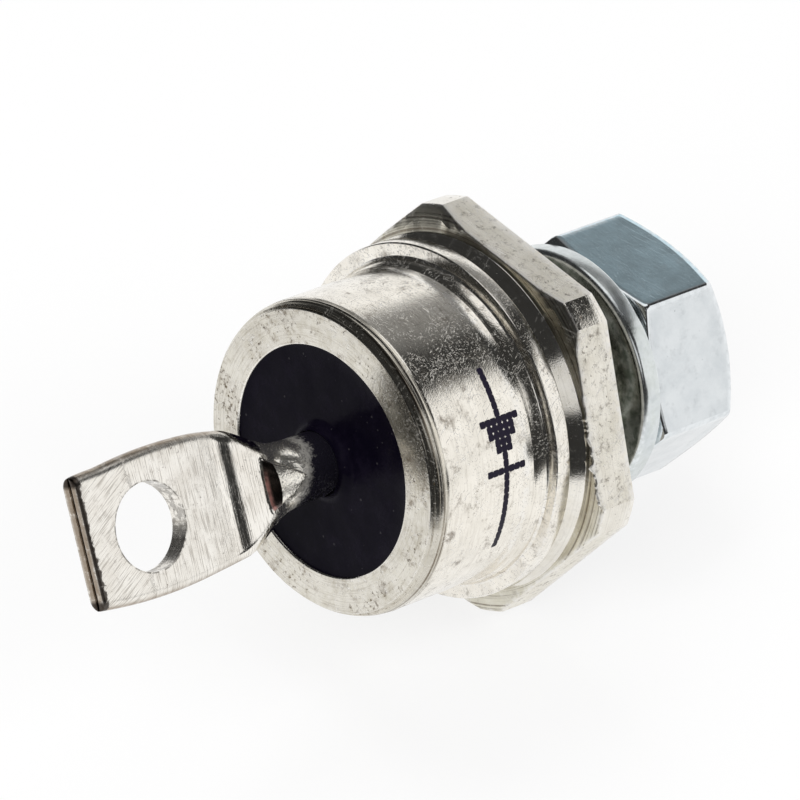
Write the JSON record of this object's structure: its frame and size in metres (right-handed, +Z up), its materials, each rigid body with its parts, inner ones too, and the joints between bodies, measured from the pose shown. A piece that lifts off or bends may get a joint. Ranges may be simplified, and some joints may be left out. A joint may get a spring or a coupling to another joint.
{
  "type": "stud diode",
  "caption": "Stud-mount power diode with a hex base, threaded stud, washer and nut, a glass-sealed metal can and a flattened lug with a connection hole.",
  "frame": {"origin": "centre of the seat, where the stud's axis meets the back face of the hex", "axes": "+Z up from the table that the diode lies on, -X towards the lug, +X towards the nut; the diode's axis lies in the XZ plane and rises 18 degrees towards the lug"},
  "size_m": [0.0357, 0.019, 0.0183],
  "materials": {
    "plated_copper": "satin nickel plate, pitted and scratched",
    "plated_steel": "satin nickel plate, turned",
    "plated_tube": "nickel plate, brushed across",
    "dark_glass": "gloss",
    "zinc": "bright zinc plate",
    "solder": "satin",
    "molybdenum": "satin",
    "silicon": "lapped",
    "silicone": "soft gloss",
    "copper": "drawn"
  },
  "bodies": {
    "root": {"base_stud": "plated_copper", "weld_ring": "plated_steel", "can": "plated_steel", "glass_seal": "dark_glass", "terminal": "plated_tube", "base_solder": "solder", "lower_disc": "molybdenum", "silicon_chip": "silicon", "junction_coating": "silicone", "upper_disc": "molybdenum", "lead_solder": "solder", "inner_lead": "copper", "washer": "zinc", "nut": "zinc"}
  },
  "joints": []
}
